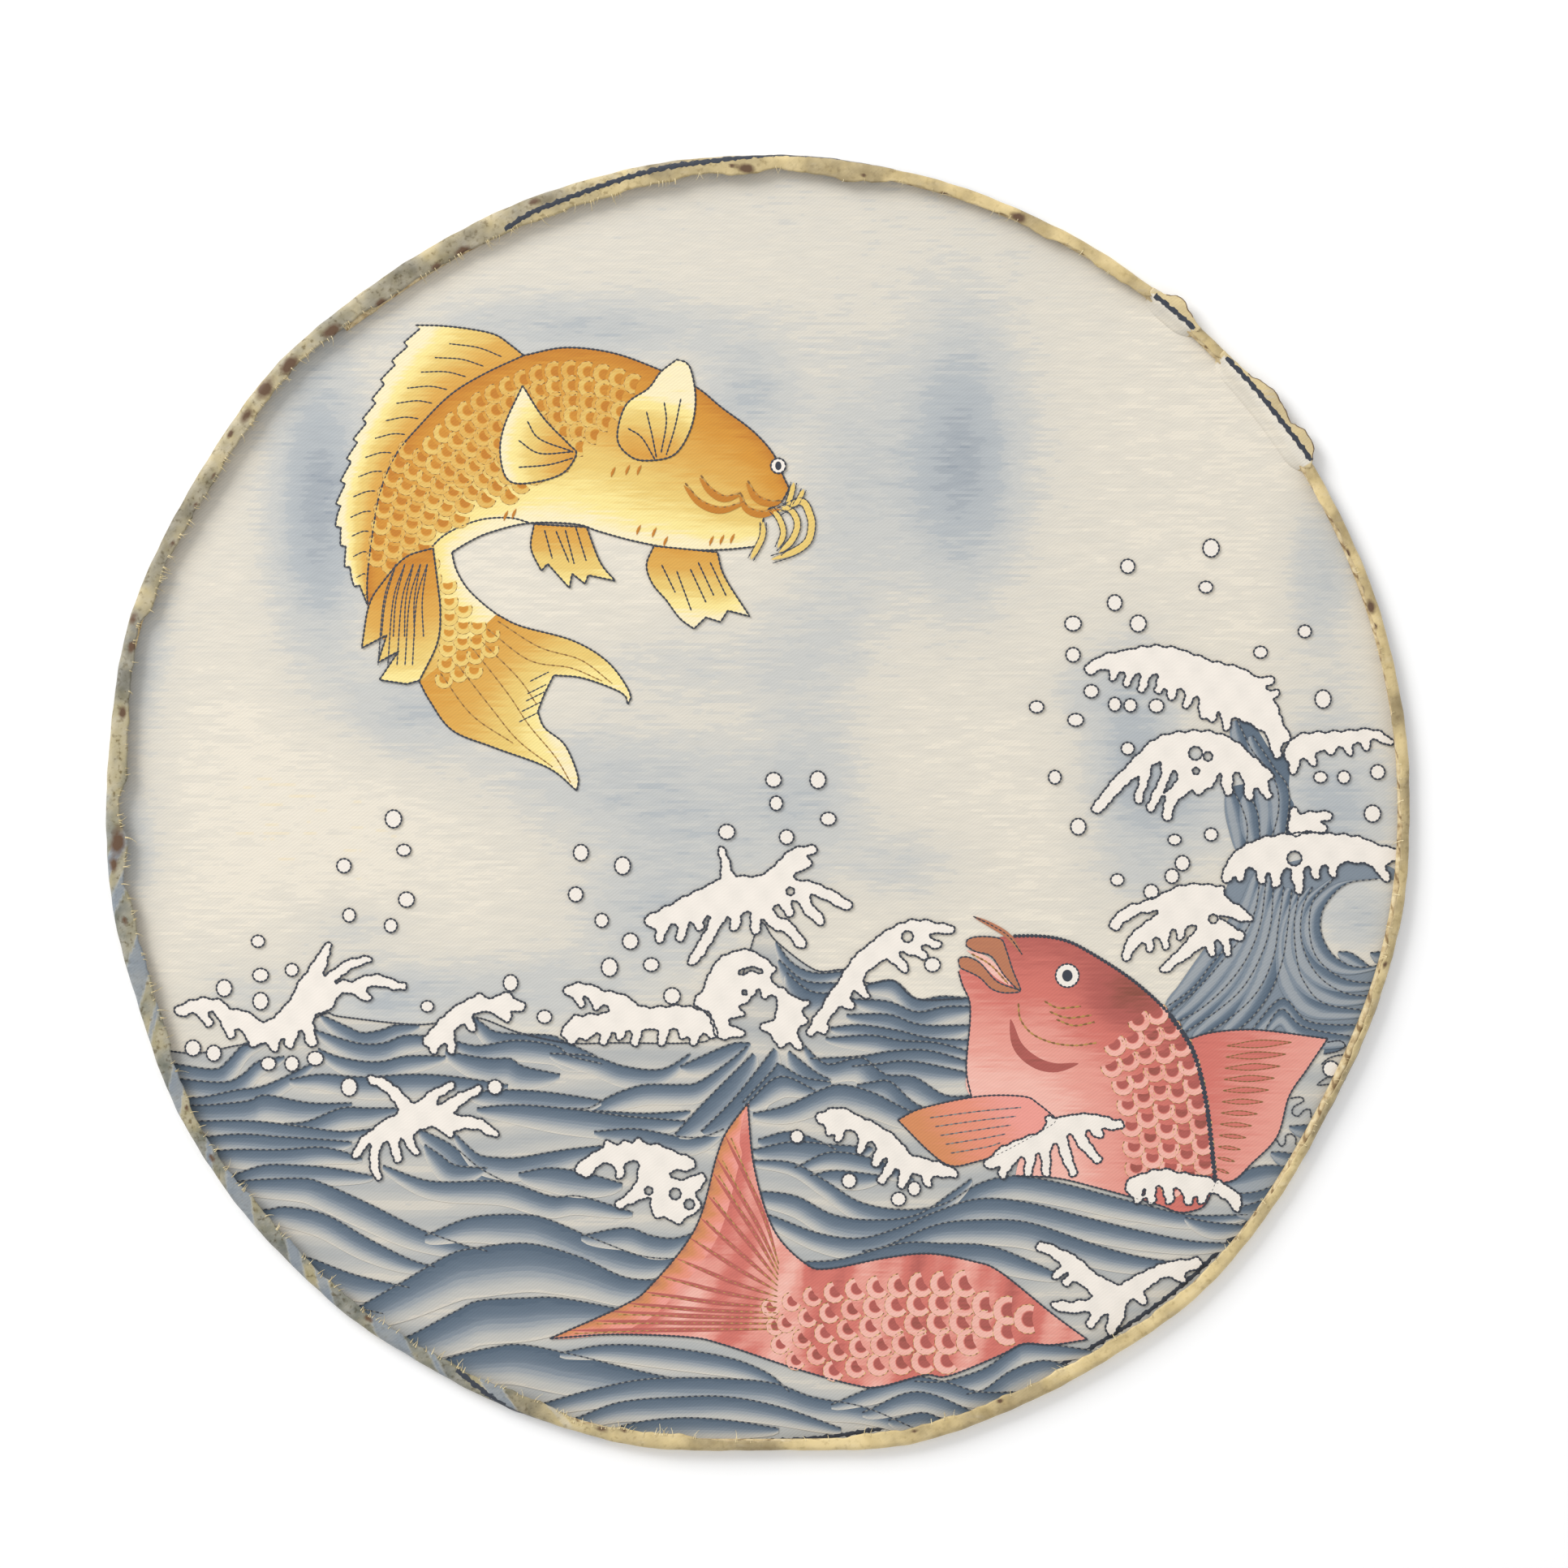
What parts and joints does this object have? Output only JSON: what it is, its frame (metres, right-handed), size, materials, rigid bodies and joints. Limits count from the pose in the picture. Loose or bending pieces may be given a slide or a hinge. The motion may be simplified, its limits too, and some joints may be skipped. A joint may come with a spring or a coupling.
{
  "type": "woven silk roundel",
  "caption": "Round picture-woven silk panel of leaping carp and waves, stretched on a thin wire hoop with its cut edge turned in over the rim.",
  "frame": {"origin": "under the middle of the panel, on the flat back of the cloth that it rests on", "axes": "+Z out of the picture side, square to the cloth; +Y towards the top of the picture; +X to the picture's right"},
  "size_m": [0.2497, 0.2482, 0.0029],
  "materials": {
    "silk": "fine picture-woven twill with a low silk sheen",
    "iron_wire": "dull drawn iron wire with brown rust spots",
    "paper": "thin matt bast paper strip stained by paste",
    "thread": "plain twisted cotton thread"
  },
  "bodies": {
    "root": {"silk_panel": "silk", "hoop_wire": "iron_wire", "paper_winding": "paper", "lap_bindings": "thread"}
  },
  "joints": []
}
